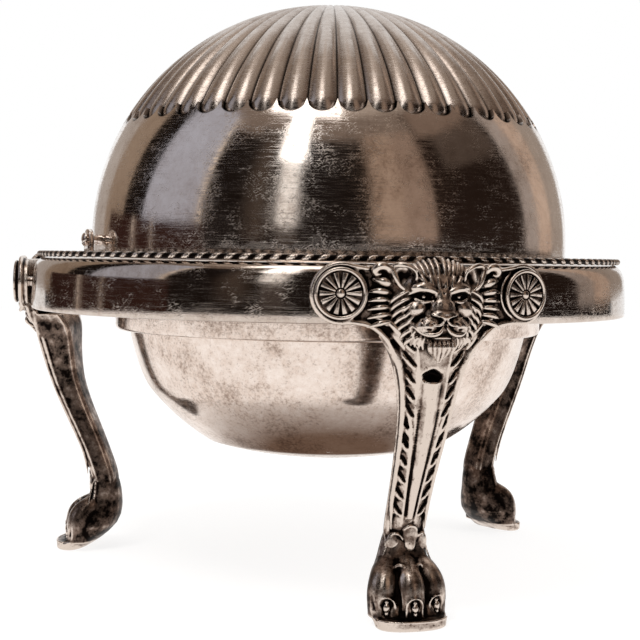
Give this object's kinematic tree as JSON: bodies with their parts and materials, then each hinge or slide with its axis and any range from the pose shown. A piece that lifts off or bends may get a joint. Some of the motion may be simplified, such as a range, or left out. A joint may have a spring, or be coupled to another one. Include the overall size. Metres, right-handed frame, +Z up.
{
  "type": "revolving caviar dish",
  "caption": "Globe serving dish: fluted dome lid that swings under an ice bowl with glass liner, in a ring on lion mask legs with paw feet.",
  "frame": {"origin": "on the table under the middle of the object's box; the axis of the ring and bowl stands 5 mm behind it, because the front mask reaches further forward than the ring reaches back", "axes": "+Z up, -Y towards the front leg, +X to the right of someone who faces the front leg"},
  "size_m": [0.2026, 0.2033, 0.1814],
  "materials": {
    "silver_plate": "worn silver plate, polished, tarnished warm grey",
    "cast_mounts": "cast and silvered, dark in the recesses, bright on the high points",
    "liner_glass": "clear pressed glass"
  },
  "bodies": {
    "stand": {"rim_band": "silver_plate", "rope_border": "cast_mounts", "bridge_plate": "silver_plate", "bowl_collar": "silver_plate", "ice_bowl": "silver_plate", "pivot_bracket_left": "cast_mounts", "pivot_bracket_right": "cast_mounts", "leg_front": "cast_mounts", "leg_left": "cast_mounts", "leg_right": "cast_mounts", "leg_screw_front_1": "cast_mounts", "leg_screw_front_2": "cast_mounts", "leg_screw_left_1": "cast_mounts", "leg_screw_left_2": "cast_mounts", "leg_screw_right_1": "cast_mounts", "leg_screw_right_2": "cast_mounts"},
    "lid": {"dome_lid": "silver_plate", "pivot_pin_left": "cast_mounts", "pivot_bush_left": "cast_mounts", "pivot_nut_left": "cast_mounts", "pivot_pin_right": "cast_mounts", "pivot_bush_right": "cast_mounts", "pivot_nut_right": "cast_mounts"},
    "liner": {"glass_liner": "liner_glass"}
  },
  "joints": [
    {"name": "lid_pivot", "type": "hinge", "parent": "stand", "child": "lid", "pos_m": [0, 0.005, 0.1044], "axis": [-0.9848, -0.1736, 0], "range_deg": [0, 160]},
    {"name": "liner_lift", "type": "slide", "parent": "stand", "child": "liner", "axis": [0, 0, 1], "range_m": [0, 0.037]}
  ]
}
